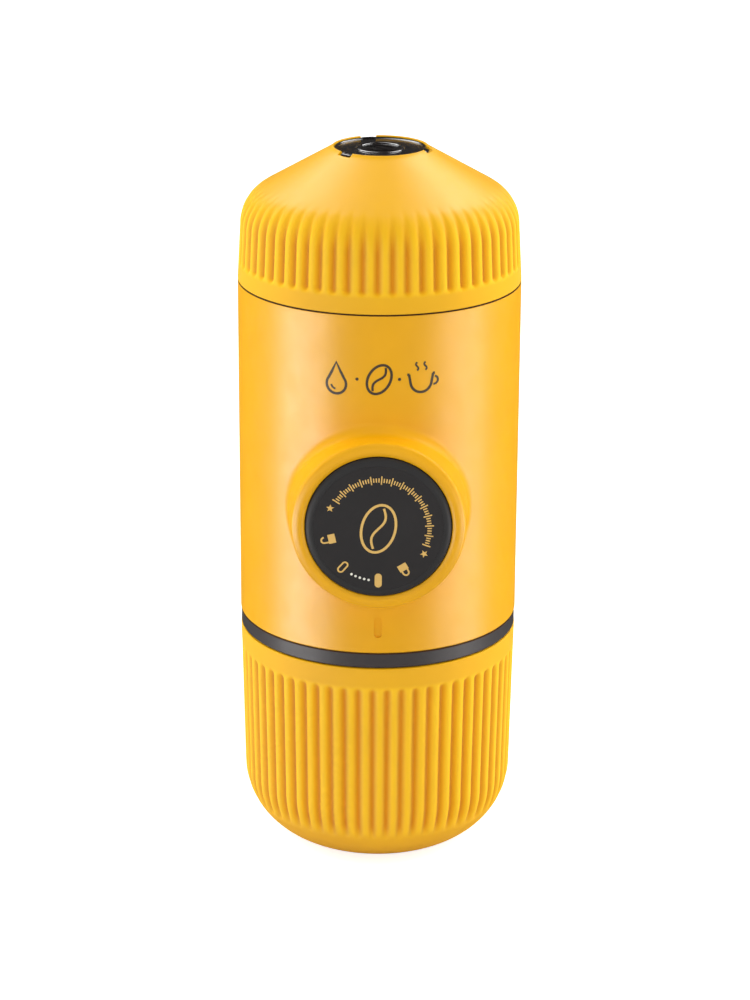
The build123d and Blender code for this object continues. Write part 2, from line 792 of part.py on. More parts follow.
def filter_screen():
    top = plate_bottom - seat_gap
    screen = disc(screen_radius, top - screen_thickness, top)
    return screen - holes(5 * screen_hole, screen_radius - 3 * screen_hole, screen_hole,
                          top - screen_thickness - 1, top + 1)


def outlet_head():
    cone = turned(
        Polyline(
            (0, plate_top), (head_base_radius, plate_top), (head_base_radius, plate_top + head_edge),
            (head_top_radius + head_edge, outlet_top), (0, outlet_top), close=True,
        )
    )
    hollow = turned(
        Polyline(
            (0, plate_top - 1), (head_base_radius - head_wall, plate_top - 1),
            (head_base_radius - head_wall, plate_top + head_edge / 3),
            (head_top_radius - head_edge / 3, spider_bottom),
            (0, spider_bottom), close=True,
        )
    )
    head = cone - hollow - disc(nozzle_radius + running_gap, spider_top, outlet_top + 1)
    head -= disc(crema_pin_radius + 2 * running_gap, spider_bottom - 1, spider_top + 1)
    reach = (nozzle_bore + crema_pin_radius) / 2 + spider_hole / 2
    return head - around(spider_hole_count, disc(spider_hole, spider_bottom - 1, spider_top + 1, reach, 0))


spider_top = outlet_top - nozzle_seat_depth
spider_bottom = spider_top - spider_thickness
crema_bottom = plate_top + seat_gap
crema_disc_top = crema_bottom + crema_valve_thickness


def crema_valve():
    """Spring-loaded poppet that holds the coffee back until the pressure is up."""
    face = disc(crema_valve_radius, crema_bottom, crema_disc_top)
    return face + disc(crema_pin_radius, crema_bottom, spider_bottom + 0.3)


def crema_spring():
    bottom = crema_disc_top + seat_gap
    return coil(
        crema_spring_radius, crema_spring_wire, bottom, spider_bottom - seat_gap - bottom,
        crema_spring_turns,
    )


def outlet_nozzle():
    nozzle = tube(nozzle_radius, nozzle_bore, spider_top + seat_gap, spider_top + nozzle_height)
    rim = nozzle.edges().filter_by(GeomType.CIRCLE).group_by(Axis.Z)[-1]
    return fillet(rim, nozzle_height / 8)


# ================================================================ cup
def cup():
    middle = (outer_radius - cup_draft - cup_shoulder_radius, cup_bottom + cup_wall_height)
    rim = (pad_radius + pad_rim_width, cup_top - pad_rim_width / 2)
    turn = shoulder_turn(middle, rim)
    outside = turned(
        Line((0, cup_bottom), (outer_radius, cup_bottom)),
        Line((outer_radius, cup_bottom), (middle[0] + cup_shoulder_radius, middle[1])),
        CenterArc(middle, cup_shoulder_radius, 0, turn),
        Line(on_arc(middle, cup_shoulder_radius, turn), rim),
        Line(rim, (pad_radius + pad_rim_width / 2, cup_top)),
        Line((pad_radius + pad_rim_width / 2, cup_top), (0, cup_top)),
        Line((0, cup_top), (0, cup_bottom)),
    )
    outside = chamfer(outside.edges().filter_by(GeomType.CIRCLE).sort_by(Axis.Z)[0], seam_chamfer)
    inner_arc = cup_shoulder_radius - cup_wall
    start = on_arc(middle, inner_arc, turn)
    ceiling = cup_top - pad_depth - pad_thickness - pad_floor
    reach = start[0] - (ceiling - start[1]) * tan(radians(turn))
    inside = turned(
        Line((0, cup_bottom - 1), (cup_bore, cup_bottom - 1)),
        Line((cup_bore, cup_bottom - 1), (cup_bore, cup_bottom)),
        Line((cup_bore, cup_bottom), (middle[0] + inner_arc, middle[1])),
        CenterArc(middle, inner_arc, 0, turn),
        Line(start, (reach, ceiling)),
        Line((reach, ceiling), (0, ceiling)),
        Line((0, ceiling), (0, cup_bottom - 1)),
    )
    pad_seat = disc(pad_radius + running_gap, pad_bottom, cup_top + 1)
    with SkipClean():
        body = fluted(outside, cup_flute_path(middle, turn)) - inside
        return body - pad_seat - pad_tabs(running_gap, cup_top + 1)


pad_bottom = cup_top - pad_depth - pad_thickness
pad_top = cup_top - pad_depth


def on_arc(middle, radius, angle):
    return middle[0] + radius * cos(radians(angle)), middle[1] + radius * sin(radians(angle))


def shoulder_turn(middle, rim):
    """Angle at which the line from the foot's rim touches the shoulder's arc."""
    across, up = rim[0] - middle[0], rim[1] - middle[1]
    return degrees(atan2(up, across) - acos(cup_shoulder_radius / sqrt(across**2 + up**2)))


def cup_flute_path(middle, turn):
    """Middle line of a flute's cutter: up the wall, over the shoulder, and slowly out of the cone."""
    away = flute_radius - flute_depth
    leave = turn - flute_leave
    low = (outer_radius - cup_draft * cup_flute_margin / cup_wall_height + away,
           cup_bottom + cup_flute_margin + flute_radius)
    high = (middle[0] + cup_shoulder_radius + away, middle[1])
    bend = cup_shoulder_radius + flute_widening
    centre = (high[0] - bend, high[1])
    end = on_arc(centre, bend, leave)
    run = cup_shoulder_radius / 2
    out = (end[0] - run * sin(radians(leave)), end[1] + run * cos(radians(leave)))
    flat = Line(low, high) + CenterArc(centre, bend, 0, leave) + Line(end, out)
    return Wire([Plane.XZ * edge for edge in flat.edges()])


def pad_tabs(gap, top):
    """The pad's three tabs, or with a gap the notches that they lie in."""
    reach = notch_reach + gap
    half = pad_radius / 2
    low = pad_bottom + notch_floor - gap
    tab = Pos(half + reach / 2, 0, (low + top) / 2) * Box(
        pad_radius + reach, notch_width + 2 * gap, top - low
    )
    return [Rot(0, 0, angle) * tab for angle in notch_angles]


def cup_foot_pad():
    pad = disc(pad_radius, pad_bottom, pad_top) + pad_tabs(0, pad_top - tab_drop)
    ring = tube(
        pad_ring_radius + pad_ring_width / 2, pad_ring_radius - pad_ring_width / 2,
        pad_top - pad_ring_height, pad_top + pad_ring_height,
    )
    return pad + ring


# ================================================================ the whole
PIECES = {
    "water_tank": water_tank,
    "tank_gasket": tank_gasket,
    "tank_head": tank_head,
    "inlet_strainer": inlet_strainer,
    "air_vent_valve": air_vent_valve,
    "tie_screws": tie_screws,
    "screw_seals": screw_seals,
    "body_shell": body_shell,
    "pump_body": pump_body,
    "port_o_rings": port_o_rings,
    "piston_cap": piston_cap,
    "dial_plate": dial_plate,
    "plunger": plunger,
    "plunger_o_rings": plunger_o_rings,
    "plunger_clip": plunger_clip,
    "return_spring": return_spring,
    "inlet_valve_seat": lambda: valve_seat(inlet_seat_bottom),
    "inlet_valve_ball": lambda: valve_ball(inlet_seat_bottom),
    "inlet_valve_spring": lambda: valve_spring(inlet_seat_bottom),
    "outlet_valve_seat": lambda: valve_seat(outlet_seat_bottom),
    "outlet_valve_ball": lambda: valve_ball(outlet_seat_bottom),
    "outlet_valve_spring": lambda: valve_spring(outlet_seat_bottom),
    "brew_head": brew_head,
    "cup_o_ring": cup_o_ring,
    "filter_basket": filter_basket,
    "group_gasket": group_gasket,
    "portafilter": portafilter,
    "filter_screen": filter_screen,
    "outlet_head": outlet_head,
    "crema_valve": crema_valve,
    "crema_spring": crema_spring,
    "outlet_nozzle": outlet_nozzle,
    "cup": cup,
    "cup_foot_pad": cup_foot_pad,
}


def solids_of(made):
    """The separate solids of a piece or a list of pieces."""
    pieces = made if isinstance(made, list) else [made]
    return [solid for piece in pieces for solid in piece.solids()]


if __name__ == "__main__":
    os.makedirs("parts", exist_ok=True)
    for name, make in PIECES.items():
        export_step(Compound(solids_of(make())), f"parts/{name}.step")
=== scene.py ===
"""Looks of the handheld espresso maker: flutes, print, materials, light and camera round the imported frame.

Lengths are in millimetres until a mesh is made. Floor, lamps and camera are in metres.
The piston points to -Y, which is the front.
"""
from math import acos, asin, atan2, cos, degrees, pi, radians, sin, sqrt, tan

import bpy
import numpy as np
from mathutils import Matrix, Vector


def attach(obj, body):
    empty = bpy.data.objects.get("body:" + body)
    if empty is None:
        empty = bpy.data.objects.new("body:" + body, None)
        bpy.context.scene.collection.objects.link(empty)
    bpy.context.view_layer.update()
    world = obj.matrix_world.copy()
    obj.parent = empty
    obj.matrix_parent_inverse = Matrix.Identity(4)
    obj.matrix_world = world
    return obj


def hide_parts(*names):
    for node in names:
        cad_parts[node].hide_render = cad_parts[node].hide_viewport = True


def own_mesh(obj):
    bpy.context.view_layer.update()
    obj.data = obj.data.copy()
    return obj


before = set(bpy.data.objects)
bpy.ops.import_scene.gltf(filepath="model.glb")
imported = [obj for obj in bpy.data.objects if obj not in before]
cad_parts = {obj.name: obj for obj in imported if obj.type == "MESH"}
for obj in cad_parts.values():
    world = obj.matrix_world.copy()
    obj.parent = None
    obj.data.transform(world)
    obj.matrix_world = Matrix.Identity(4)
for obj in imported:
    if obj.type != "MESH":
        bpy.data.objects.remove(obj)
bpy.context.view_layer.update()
MM = 0.001

# ---------------------------------------------------------------- sizes, as in the part's source
OUTER = 30.4
TANK_TOP = 49.0
SHELL_BOTTOM = 52.6
SHELL_TOP = 127.3
CUP_BOTTOM = 127.35
PUMP_Z = 83.4
PISTON_FRONT = 37.4
FLUTES = 60

# ---------------------------------------------------------------- how the meshes and materials are made
GROOVE_POWER = 1.7  # above 1 it makes the grooves narrower than the ridges
PLAIN = 0.38  # share of the grooves' painted shade colour on the plain parts of a fluted piece
GRIP_ROUGHNESS = 0.75  # of the fluted rows
COLUMNS = 720  # points round the tank, the cup and the seams, 12 to a flute
ROUND = 256  # points round the piston, its dial and its lip
EDGE = 0.3  # rounding of the tank's and the cup's rims
POLE = 2.0  # radius at which their profiles start, near the axis
SHARP = 35  # degrees between two faces, above which their edge is sharp
NOISE_SPAN = (0.3, 0.7)  # the part of a noise's range that is spread from low to high
WHITE = (1, 1, 1, 1)


# ================================================================ colours and materials
def linear(r, g, b):
    """Linear colour from the 0-255 values that a picture has."""
    values = [v / 255 for v in (r, g, b)]
    return [v / 12.92 if v <= 0.04045 else ((v + 0.055) / 1.055) ** 2.4 for v in values] + [1.0]


class Material:
    """A Principled material that is put together node by node."""

    def __init__(self, name, colour, roughness, **sockets):
        self.material = bpy.data.materials.new(name)
        self.material.use_nodes = True
        self.tree = self.material.node_tree
        self.shader = self.tree.nodes["Principled BSDF"]
        self.shader.inputs["Base Color"].default_value = colour
        self.shader.inputs["Roughness"].default_value = roughness
        for socket, value in sockets.items():
            self.shader.inputs[socket.replace("_", " ")].default_value = value
        self.place = self.node("ShaderNodeTexCoord").outputs["Object"]

    def node(self, kind, **settings):
        made = self.tree.nodes.new(kind)
        for key, value in settings.items():
            setattr(made, key, value)
        return made

    def link(self, source, target):
        self.tree.links.new(source, target)

    def noise(self, size, detail, stretch=(1, 1, 1)):
        """Noise whose features are about size mm across."""
        mapping = self.node("ShaderNodeMapping")
        mapping.inputs["Scale"].default_value = [s / (size * MM) for s in stretch]
        self.link(self.place, mapping.inputs["Vector"])
        texture = self.node("ShaderNodeTexNoise")
        texture.inputs["Scale"].default_value = 1.0
        texture.inputs["Detail"].default_value = detail
        texture.inputs["Roughness"].default_value = 0.55
        self.link(mapping.outputs[0], texture.inputs["Vector"])
        return texture.outputs["Fac"]

    def ramp(self, source, low, high):
        """Colour that goes from low to high with a noise."""
        ramp = self.node("ShaderNodeValToRGB")
        first, last = ramp.color_ramp.elements
        first.position, first.color = NOISE_SPAN[0], low
        last.position, last.color = NOISE_SPAN[1], high
        self.link(source, ramp.inputs["Fac"])
        return ramp.outputs["Color"]

    def level(self, source, low, high):
        """Number that goes from low to high with a noise."""
        node = self.node("ShaderNodeMapRange")
        for socket, value in zip(node.inputs[1:5], (*NOISE_SPAN, low, high)):
            socket.default_value = value
        self.link(source, node.inputs[0])
        return node.outputs[0]

    def tint(self, colour, source, spread):
        """Base colour that wanders a little either side of colour."""
        low = [c * (1 - spread) for c in colour[:3]] + [1.0]
        high = [min(1.0, c * (1 + spread)) for c in colour[:3]] + [1.0]
        self.link(self.ramp(source, low, high), self.shader.inputs["Base Color"])

    def vary(self, attribute, socket, other):
        """Take a linked socket to another value where the mesh's attribute goes from 0 to 1."""
        colour = socket == "Base Color"
        mix = self.node("ShaderNodeMix", data_type="RGBA" if colour else "FLOAT")
        # the Mix node's inputs A and B and its result, for colours or for numbers
        first, second, result = (6, 7, 2) if colour else (2, 3, 0)
        here = self.node("ShaderNodeAttribute", attribute_name=attribute)
        self.link(here.outputs["Fac"], mix.inputs[0])
        self.link(self.shader.inputs[socket].links[0].from_socket, mix.inputs[first])
        mix.inputs[second].default_value = other
        self.link(mix.outputs[result], self.shader.inputs[socket])

    def rough(self, source, low, high):
        """Roughness that goes from low to high with a noise."""
        self.link(self.level(source, low, high), self.shader.inputs["Roughness"])

    def bump(self, height, depth):
        """Relief, depth mm deep where height is 1, on top of any that is there."""
        node = self.node("ShaderNodeBump")
        node.inputs["Strength"].default_value = 1.0
        node.inputs["Distance"].default_value = depth * MM
        self.link(height, node.inputs["Height"])
        earlier = self.shader.inputs["Normal"].links
        if earlier:
            self.link(earlier[0].from_socket, node.inputs["Normal"])
        self.link(node.outputs["Normal"], self.shader.inputs["Normal"])


def moulded(name, colour, roughness, grain=0.22, depth=0.002, spread=0.03, deep=None, **sockets):
    """Satin moulded plastic: spark-eroded grain, slow drift in colour and gloss.

    With deep it has that colour where the mesh's "groove" is 1: painted shade in the grooves, set against
    its own colour painted lighter on the ridges. It is duller where its "grip" is 1.
    """
    made = Material(name, colour, roughness, **sockets)
    made.tint(colour, made.noise(14, detail=2), spread)
    made.rough(made.noise(5, detail=4), roughness - 0.03, roughness + 0.04)
    if deep:
        # painted shade: the deep colour in the flutes' grooves, following the mesh's "groove" share
        made.vary("groove", "Base Color", deep)
        made.vary("grip", "Roughness", GRIP_ROUGHNESS)
    made.bump(made.noise(grain, detail=2), depth)
    made.bump(made.noise(9, detail=1), 0.004)
    return made.material


def rubbery(name, colour, roughness, **sockets):
    """Silicone or rubber: almost smooth, with a faint cloudy bloom."""
    made = Material(name, colour, roughness, **sockets)
    made.tint(colour, made.noise(3, detail=5), 0.08)
    made.rough(made.noise(2, detail=4), roughness - 0.06, roughness + 0.08)
    made.bump(made.noise(0.6, detail=3), 0.008)
    return made.material


def metallic(name, colour, roughness, stretch=(1, 1, 12), streak=0.5):
    """Steel with fine drawing or brushing marks along one direction."""
    made = Material(name, colour, roughness, Metallic=1.0)
    marks = made.noise(streak, detail=4, stretch=stretch)
    made.tint(colour, marks, 0.06)
    made.rough(marks, roughness - 0.06, roughness + 0.08)
    made.bump(marks, 0.003)
    return made.material


yellow = moulded("yellow_satin", linear(240, 174, 10), 0.4, Specular_IOR_Level=0.25)
# fluted plastic with painted light: its colour is the lighter one on the ridges, and deep is painted shade
# in the grooves
grip_yellow = moulded(
    "yellow_grip_groove_shade", linear(254, 197, 12), 0.42, Specular_IOR_Level=0.25, deep=linear(222, 146, 5)
)
band = moulded("band_satin", linear(70, 66, 66), 0.42, spread=0.05, Specular_IOR_Level=0.12)
piston_black = moulded("piston_satin", linear(53, 52, 52), 0.5, spread=0.05, Specular_IOR_Level=0.1)
dial_black = moulded("dial_matt", linear(52, 50, 50), 0.5, grain=0.15, spread=0.05, Specular_IOR_Level=0.08)
# painted shadow in the gaps at the body's seams
shadow_black = moulded("seam_shadow", linear(66, 38, 6), 0.7, Specular_IOR_Level=0.1)
pump_black = moulded("pump_glass_filled", linear(72, 72, 74), 0.5, grain=0.4, depth=0.02, spread=0.12)
brew_black = moulded("brew_satin", linear(40, 40, 41), 0.42, spread=0.06)
pad_black = rubbery(
    "pad_gloss", linear(34, 29, 28), 0.2, Specular_IOR_Level=0.5, Coat_Weight=0.5, Coat_Roughness=0.12
)
# painted shade for the floor of the index mark's groove
recess_shade_yellow = moulded("yellow_recess_shade", linear(238, 170, 10), 0.5, Specular_IOR_Level=0.2)
gold_print = moulded(
    "gold_print", linear(226, 184, 104), 0.5, grain=0.1, spread=0.06, Specular_IOR_Level=0.2
)
white_print = moulded("white_print", linear(232, 230, 216), 0.5, grain=0.1, Specular_IOR_Level=0.2)
grey_print = moulded("grey_print", linear(78, 66, 48), 0.5, grain=0.1, spread=0.06, Specular_IOR_Level=0.2)
milky = rubbery("milky_silicone", linear(226, 226, 222), 0.35, Subsurface_Weight=0.2)
milky.node_tree.nodes["Principled BSDF"].inputs["Subsurface Radius"].default_value = (0.002, 0.002, 0.002)
seal_black = rubbery("seal_rubber", linear(38, 37, 37), 0.45)
seal_red = rubbery("red_silicone", linear(176, 62, 50), 0.4)
brushed = metallic("brushed_steel", (0.62, 0.61, 0.59, 1), 0.3)
sprung = metallic("spring_wire", (0.55, 0.55, 0.55, 1), 0.28, stretch=(1, 1, 1), streak=0.3)
polished = metallic("polished_ball", (0.75, 0.75, 0.76, 1), 0.1, stretch=(1, 1, 1), streak=1.5)

FINISH = {
    "yellow_plastic": yellow,
    "dark_band_plastic": band,
    "piston_plastic": piston_black,
    "dial_plastic": dial_black,
    "black_pad_rubber": pad_black,
    "pump_plastic": pump_black,
    "black_plastic": brew_black,
    "clear_silicone": milky,
    "dark_rubber": seal_black,
    "red_silicone": seal_red,
    "stainless_steel": brushed,
    "spring_steel": sprung,
    "polished_steel": polished,
}
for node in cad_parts.values():
    for slot in node.material_slots:
        slot.material = FINISH[slot.material.name.split(".")[0]]


# ================================================================ making meshes
def make_piece(name, points, faces, material, body, slot, replaced=()):
    """Piece with smooth shading from points in mm; replaced names the CAD nodes that it stands for."""
    mesh = bpy.data.meshes.new(name)
    mesh.from_pydata((np.asarray(points, float) * MM).tolist(), [], faces)
    mesh.polygons.foreach_set("use_smooth", np.ones(len(mesh.polygons), bool))
    mesh.set_sharp_from_angle(angle=radians(SHARP))
    mesh.materials.append(material)
    piece = bpy.data.objects.new(name, mesh)
    bpy.context.scene.collection.objects.link(piece)
    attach(piece, body)
    if replaced:
        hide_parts(*replaced)
    return piece


def grid_faces(rows, columns):
    """Quads between rows of points; the last column is joined to the first."""
    i = np.arange(rows - 1)[:, None]
    j = np.arange(columns)[None, :]
    k = (j + 1) % columns
    corners = [i * columns + j, i * columns + k, (i + 1) * columns + k, (i + 1) * columns + j]
    return np.stack(np.broadcast_arrays(*corners), -1).reshape(-1, 4).tolist()


def turned(radii, heights):
    """Closed surface of revolution from arrays (rows, columns), with a point on the axis at each end."""
    rows, columns = radii.shape
    angle = 2 * pi * np.arange(columns) / columns - pi / 2
    points = np.stack([radii * np.cos(angle), radii * np.sin(angle), heights], -1).reshape(-1, 3)
    start, end = [0, 0, heights[0].mean()], [0, 0, heights[-1].mean()]
    points = np.vstack([points, start, end])
    faces = grid_faces(rows, columns)
    pole, last = rows * columns, (rows - 1) * columns
    for j in range(columns):
        k = (j + 1) % columns
        faces.append([pole, k, j])
        faces.append([pole + 1, last + j, last + k])
    return points, faces


def turned_profile(profile, columns):
    """Closed surface of revolution from one profile of (radius, height), taken from its end."""
    profile = np.array(profile)[::-1]
    return turned(np.repeat(profile[:, :1], columns, axis=1), np.repeat(profile[:, 1:], columns, axis=1))


def ring_mesh(outline, columns):
    """Closed ring of revolution from one closed outline of (radius, height)."""
    angle = 2 * pi * np.arange(columns) / columns
    outline = np.asarray(outline, float)
    radii, heights = outline[:, 0][:, None], outline[:, 1][:, None] + 0 * angle[None, :]
    points = np.stack([radii * np.cos(angle), radii * np.sin(angle), heights], -1).reshape(-1, 3)
    rows = len(outline)
    faces = grid_faces(rows, columns)
    for j in range(columns):
        k, last = (j + 1) % columns, (rows - 1) * columns
        faces.append([last + j, last + k, k, j])
    return points, faces


def run(start, end, count):
    """Points from start up to, but without, end."""
    t = np.arange(count)[:, None] / count
    return np.array(start) + t * (np.array(end) - np.array(start))


def arc(middle, radius, first, last, count):
    """Points on an arc, angles in degrees, without the last."""
    a = np.radians(first + (last - first) * np.arange(count) / count)
    return np.stack([middle[0] + radius * np.cos(a), middle[1] + radius * np.sin(a)], -1)


def bezier(start, pull, end, count):
    """Points on a quadratic curve, without its end."""
    t = np.arange(count)[:, None] / count
    a, b, c = (np.array(p, float) for p in (start, pull, end))
    return (1 - t) ** 2 * a + 2 * t * (1 - t) * b + t**2 * c


def tangent_arc(start, direction, end):
    """Middle and radius of the arc that leaves start along direction and passes through end."""
    inward = np.array([direction[1], -direction[0]]) / np.hypot(*direction)
    gap = np.array(start) - np.array(end)
    radius = -(gap @ gap) / (2 * inward @ gap)
    return np.array(start) + radius * inward, radius


def angle_of(point, middle):
    return degrees(atan2(point[1] - middle[1], point[0] - middle[0]))


def outline_normals(outline):
    """Unit normals of an outline, on its right-hand side as it runs."""
    step = np.gradient(outline, axis=0)
    normal = np.stack([step[:, 1], -step[:, 0]], -1)
    return normal / np.linalg.norm(normal, axis=1)[:, None]


def along(outline):
    """Distance along an outline to each of its points."""
    return np.concatenate([[0], np.cumsum(np.linalg.norm(np.diff(outline, axis=0), axis=1))])


def from_flute(columns, phase):
    """Angle from each column to the middle of its nearest flute, in radians."""
    pitch = 2 * pi / FLUTES
    angle = 2 * pi * np.arange(columns) / columns - phase * pitch
    return np.abs((angle + pitch / 2) % pitch - pitch / 2)


def smooth(t):
    """0 up to t = 0 and 1 from t = 1, with a soft start and end between them."""
    t = np.clip(t, 0, 1)
    return t * t * (3 - 2 * t)


def groove(across, beyond, depth, half):
    """Depth of a groove between two broad round ridges; beyond is the distance past its rounded end."""
    reach = np.sqrt(across**2 + np.maximum(beyond, 0) ** 2) / half
    return depth * (0.5 + 0.5 * np.cos(pi * np.minimum(reach, 1))) ** GROOVE_POWER


def with_flutes(outline, sunk):
    """Radii and heights of an outline that is pushed in along its normals by sunk (rows, columns)."""
    normal = outline_normals(outline)
    radii = outline[:, 0][:, None] - normal[:, 0][:, None] * sunk
    heights = outline[:, 1][:, None] - normal[:, 1][:, None] * sunk
    return radii, heights


def fluted_piece(name, surface, body, replaced):
    """Piece from radii, heights, the share of painted groove shade at each point, which follows how deep it
    lies in a groove, and how matt its row is.
    """
    radii, heights, painted_shade_share, grip = surface
    piece = make_piece(name, *turned(radii, heights), grip_yellow, body, "yellow_plastic", [replaced])
    for attribute, values in (("groove", painted_shade_share), ("grip", grip + 0 * radii)):
        layer = piece.data.attributes.new(attribute, "FLOAT", "POINT")
        layer.data.foreach_set("value", np.concatenate([values.ravel(), [PLAIN, PLAIN]]))


def groove_shade_share(sunk, depth, fluted):
    """Share of painted groove shade: 0 on a ridge, 1 in a groove, and between them where the wall is plain,
    as fluted goes from 1 to 0.
    """
    return fluted * sunk / depth + (1 - fluted) * PLAIN


# ================================================================ water tank
CORNER = (29.7, 15.5)  # where the wall runs into the foot's rounding
FOOT = 19.0
FOOT_EDGE = 1.2  # width of the soft edge between the flat foot and the rounding
FOOT_SWEEP = 5  # degrees of the rounding that this edge takes up
RIM = 30.35
DENSE_FROM = 42.0  # height from which the wall's rows lie close together
TANK_FLUTE_DEPTH = 0.9
TANK_FLUTE_PHASE = 0.645  # of the pitch, from the front
TANK_FLUTE_TOP = 45.0
TANK_FLUTE_BOTTOM = 7.2
RIM_ARC_ROWS = 5


def tank_outside(lean):
    """Outline from the middle of the foot to the rim's edge; lean is the wall's direction."""
    middle, radius = tangent_arc(CORNER, lean, (FOOT, 0))
    foot_angle, corner_angle = angle_of((FOOT, 0), middle), angle_of(CORNER, middle)
    start = radians(foot_angle + FOOT_SWEEP)
    foot_end = middle + radius * np.array([cos(start), sin(start)])
    dense = (RIM + (CORNER[0] - RIM) * (TANK_TOP - DENSE_FROM) / (TANK_TOP - CORNER[1]), DENSE_FROM)
    return np.vstack([
        run((POLE, 0), (FOOT - FOOT_EDGE, 0), 6),
        bezier((FOOT - FOOT_EDGE, 0), (FOOT, 0), foot_end, 6),
        arc(middle, radius, foot_angle + FOOT_SWEEP, corner_angle, 46),
        run(CORNER, dense, 8),
        run(dense, (RIM, TANK_TOP - EDGE), 28),
        arc((RIM - EDGE, TANK_TOP - EDGE), EDGE, 0, 90, RIM_ARC_ROWS),
    ])


def tank_inside(lean):
    """Outline from the rim's edge down to the middle of the floor; the bore has no thread."""
    bore, bore_end = 27.6, 34.3
    gasket_bore, gasket_step = 28.85, 47.73
    floor, floor_radius = 2.3, 17.85
    corner = (27.4, 15.5)
    middle, radius = tangent_arc(corner, lean, (floor_radius, floor))
    first, last = angle_of(corner, middle), angle_of((floor_radius, floor), middle)
    return np.vstack([
        run((RIM - EDGE, TANK_TOP), (gasket_bore, TANK_TOP), 2),
        run((gasket_bore, TANK_TOP), (gasket_bore, gasket_step), 2),
        run((gasket_bore, gasket_step), (bore, gasket_step), 2),
        run((bore, gasket_step), (bore, bore_end), 4),
        run((bore, bore_end), corner, 4),
        arc(middle, radius, first, last, 10),
        run((floor_radius, floor), (POLE, floor), 4),
        [(POLE, floor)],
    ])


def tank_mesh():
    """Surface of the tank, whose flutes fade in over 5 mm at their foot and thin out at their top."""
    lean = np.array(CORNER) - np.array([RIM, TANK_TOP])
    outside = tank_outside(lean)
    outline = np.vstack([outside, tank_inside(lean)])
    distance = along(outline)
    wall = slice(len(outside) - RIM_ARC_ROWS)
    low = np.interp(TANK_FLUTE_BOTTOM, outline[wall, 1], distance[wall])
    high = np.interp(TANK_FLUTE_TOP, outline[wall, 1], distance[wall])
    across = from_flute(COLUMNS, TANK_FLUTE_PHASE)[None, :] * outline[:, 0][:, None]
    s = distance[:, None]
    fade = smooth((s - low + 0.5) / 5.0) * (0.35 + 0.65 * smooth((high - s) / 2.5))
    depth = TANK_FLUTE_DEPTH * (0.25 + 0.75 * fade)
    half = pi * outline[:, 0][:, None] / FLUTES
    beyond = np.maximum(low + half - s, s - (high - half))
    sunk = groove(across, beyond, depth, half)
    sunk[len(outside):] = 0
    fluted = smooth((s - low) / 3) * smooth((high - s) / 1.2)
    return *with_flutes(outline, sunk), groove_shade_share(sunk, TANK_FLUTE_DEPTH, fluted), 1.0


fluted_piece("tank", tank_mesh(), "tank", "water_tank")


# ================================================================ cup
CUP_RADIUS = OUTER - 0.015
CUP_WAIST = (OUTER - 0.32, CUP_BOTTOM + 6)  # where the wall turns a little further in
SHOULDER = 9.0  # radius of the rounding between the wall and the cone
SHOULDER_MIDDLE = (20.75, 139.35)
SHOULDER_WALL = 2.2  # thickness of the cup at its shoulder
TOP_RIM = (10.3, 155.725)
CUP_FLUTE_DEPTH = 0.9
CUP_FLUTE_PHASE = -0.15  # of the pitch, from the front
CUP_FLUTE_LOW = 3.4  # distance up the wall at which the flutes start
CUP_FADE_START = 12.3  # distance up the wall at which they start to fade
CUP_FADE = 11.0
PAD_SEAT = 9.8
PAD_BOTTOM = 154.0
NOTCHES = (105, 225, 345)
NOTCH_WIDTH = 3.3
NOTCH_REACH = 0.75
NOTCH_FLOOR = 154.55
CONE_ROWS = 14  # last rows of the cone, which have no flutes and are cut by the notches
RIM_ROWS = 8

across_gap, up_gap = TOP_RIM[0] - SHOULDER_MIDDLE[0], TOP_RIM[1] - SHOULDER_MIDDLE[1]
CONE = 90 - degrees(atan2(up_gap, across_gap) - acos(SHOULDER / sqrt(across_gap**2 + up_gap**2)))


def on_shoulder(radius):
    """Where an arc of this radius round the shoulder's middle runs into the cone."""
    turn = radians(90 - CONE)
    return SHOULDER_MIDDLE[0] + radius * cos(turn), SHOULDER_MIDDLE[1] + radius * sin(turn)


def cup_inside():
    """Outline from under the ceiling's middle down to the wall's lower edge."""
    turn, inner = 90 - CONE, SHOULDER - SHOULDER_WALL
    on_inner = on_shoulder(inner)
    ceiling, bore = 152.0, 28.2
    reach = on_inner[0] - (ceiling - on_inner[1]) * tan(radians(turn))
    return np.vstack([
        run((POLE, ceiling), (reach, ceiling), 3),
        run((reach, ceiling), on_inner, 4),
        arc(SHOULDER_MIDDLE, inner, turn, 0, 8),
        run((SHOULDER_MIDDLE[0] + inner, SHOULDER_MIDDLE[1]), (bore, CUP_BOTTOM), 3),
        run((bore, CUP_BOTTOM), (CUP_RADIUS - EDGE, CUP_BOTTOM), 2),
    ])


def cup_outside():
    """Outline from the wall's lower edge up to the top rim."""
    return np.vstack([
        arc((CUP_RADIUS - EDGE, CUP_BOTTOM + EDGE), EDGE, -90, 0, 5),
        run((CUP_RADIUS, CUP_BOTTOM + EDGE), CUP_WAIST, 22),
        run(CUP_WAIST, (SHOULDER_MIDDLE[0] + SHOULDER, SHOULDER_MIDDLE[1]), 5),
        arc(SHOULDER_MIDDLE, SHOULDER, 0, 90 - CONE, 32),
        run(on_shoulder(SHOULDER), TOP_RIM, 20),
    ])


